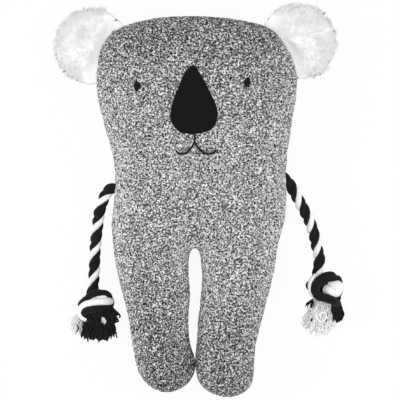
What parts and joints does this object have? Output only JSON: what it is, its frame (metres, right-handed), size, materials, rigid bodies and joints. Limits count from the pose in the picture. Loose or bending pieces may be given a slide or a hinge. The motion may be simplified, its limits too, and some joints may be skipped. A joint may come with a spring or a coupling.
{
  "type": "plush koala",
  "caption": "Flat stuffed koala toy in curly cloth, with fur ears, a cloth nose and rope arms that end in a knot and a frayed tassel.",
  "frame": {"origin": "on the floor under the middle of the toy's own box, measured without the rope arms", "axes": "+Y from the feet to the top of the head, +Z out of the face, +X to the viewer's right; the toy lies on its back"},
  "size_m": [0.2526, 0.3452, 0.0711],
  "materials": {
    "curly_cloth": "matte",
    "fur_cloth": "matte",
    "nose_cloth": "matte",
    "thread": "matte",
    "fibre_filling": "matte",
    "cotton_rope": "matte",
    "cotton_yarn": "matte",
    "squeaker_plastic": "satin"
  },
  "bodies": {
    "torso": {"front_panel_body": "curly_cloth", "back_panel_body": "curly_cloth", "front_panel_left_hip": "curly_cloth", "back_panel_left_hip": "curly_cloth", "front_panel_right_hip": "curly_cloth", "back_panel_right_hip": "curly_cloth", "body_filling": "fibre_filling", "squeaker_bulb": "squeaker_plastic", "squeaker_reed": "squeaker_plastic", "nose_patch": "nose_cloth", "left_eye": "thread", "right_eye": "thread", "mouth_stitch": "thread", "body_rope": "cotton_rope"},
    "left_leg": {"front_panel_left_leg": "curly_cloth", "back_panel_left_leg": "curly_cloth", "left_leg_filling": "fibre_filling"},
    "right_leg": {"front_panel_right_leg": "curly_cloth", "back_panel_right_leg": "curly_cloth", "right_leg_filling": "fibre_filling"},
    "left_ear": {"left_ear_front_panel": "fur_cloth", "left_ear_back_panel": "fur_cloth", "left_ear_filling": "fibre_filling"},
    "right_ear": {"right_ear_front_panel": "fur_cloth", "right_ear_back_panel": "fur_cloth", "right_ear_filling": "fibre_filling"},
    "left_arm": {"left_arm_rope": "cotton_rope", "left_knot": "cotton_rope", "left_frayed_end": "cotton_yarn"},
    "right_arm": {"right_arm_rope": "cotton_rope", "right_knot": "cotton_rope", "right_frayed_end": "cotton_yarn"}
  },
  "joints": [
    {"name": "left_arm_raise", "type": "hinge", "parent": "torso", "child": "left_arm", "pos_m": [-0.0764, 0.0074, 0.0335], "axis": [0, 0, -1], "range_deg": [-3, 120]},
    {"name": "right_arm_raise", "type": "hinge", "parent": "torso", "child": "right_arm", "pos_m": [0.086, 0.0073, 0.0335], "axis": [0, 0, 1], "range_deg": [-10, 100]},
    {"name": "left_leg_fold", "type": "hinge", "parent": "torso", "child": "left_leg", "pos_m": [-0.036, -0.05985, 0.03256], "axis": [-1, 0, 0], "range_deg": [-20, 65], "stiffness_Nm_per_rad": 0.08, "deforming": ["front_panel_left_hip", "back_panel_left_hip"]},
    {"name": "right_leg_fold", "type": "hinge", "parent": "torso", "child": "right_leg", "pos_m": [0.036, -0.05985, 0.0326], "axis": [-1, 0, 0], "range_deg": [-20, 65], "stiffness_Nm_per_rad": 0.08, "deforming": ["front_panel_right_hip", "back_panel_right_hip"]},
    {"name": "left_ear_fold", "type": "hinge", "parent": "torso", "child": "left_ear", "pos_m": [-0.08252, 0.13139, 0.0345], "axis": [0.342, 0.9397, 0], "range_deg": [-35, 35], "stiffness_Nm_per_rad": 0.03},
    {"name": "right_ear_fold", "type": "hinge", "parent": "torso", "child": "right_ear", "pos_m": [0.0792, 0.13389, 0.0345], "axis": [0.4848, -0.8746, 0], "range_deg": [-30, 30], "stiffness_Nm_per_rad": 0.03}
  ]
}
